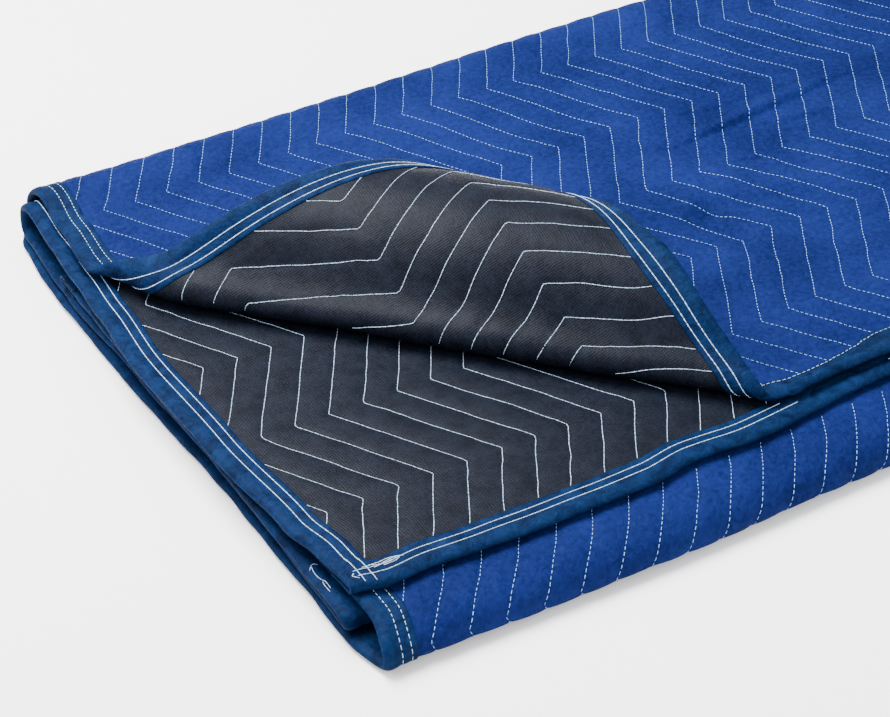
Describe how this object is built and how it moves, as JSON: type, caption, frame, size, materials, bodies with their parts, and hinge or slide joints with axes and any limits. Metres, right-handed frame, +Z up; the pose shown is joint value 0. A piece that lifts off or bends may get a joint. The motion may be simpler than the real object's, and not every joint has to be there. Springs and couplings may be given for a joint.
{
  "type": "folded moving blanket",
  "caption": "Quilted furniture moving blanket with bound edges, folded into a flat pile with its top front corner rolled back to show the lining side.",
  "frame": {"origin": "centre of the folded pile's bounding box, on the floor under it", "axes": "+X along the pile's longest side, from the bound edges towards the doubled fold; +Y from the free front edge towards the far bend; +Z up from the floor"},
  "size_m": [1.0502, 0.7099, 0.1289],
  "materials": {
    "quilted_cloth": "matte non-woven face in mid blue over wadding, with a dark grey woven lining and white zigzag quilting",
    "binding_tape": "matte soft polyester binding in teal blue, sewn down with two rows of white thread"
  },
  "bodies": {
    "root": {"quilted_cloth": "quilted_cloth", "side_binding_outer": "binding_tape", "side_binding_inner": "binding_tape", "end_binding_front": "binding_tape", "end_binding_tucked": "binding_tape"}
  },
  "joints": []
}
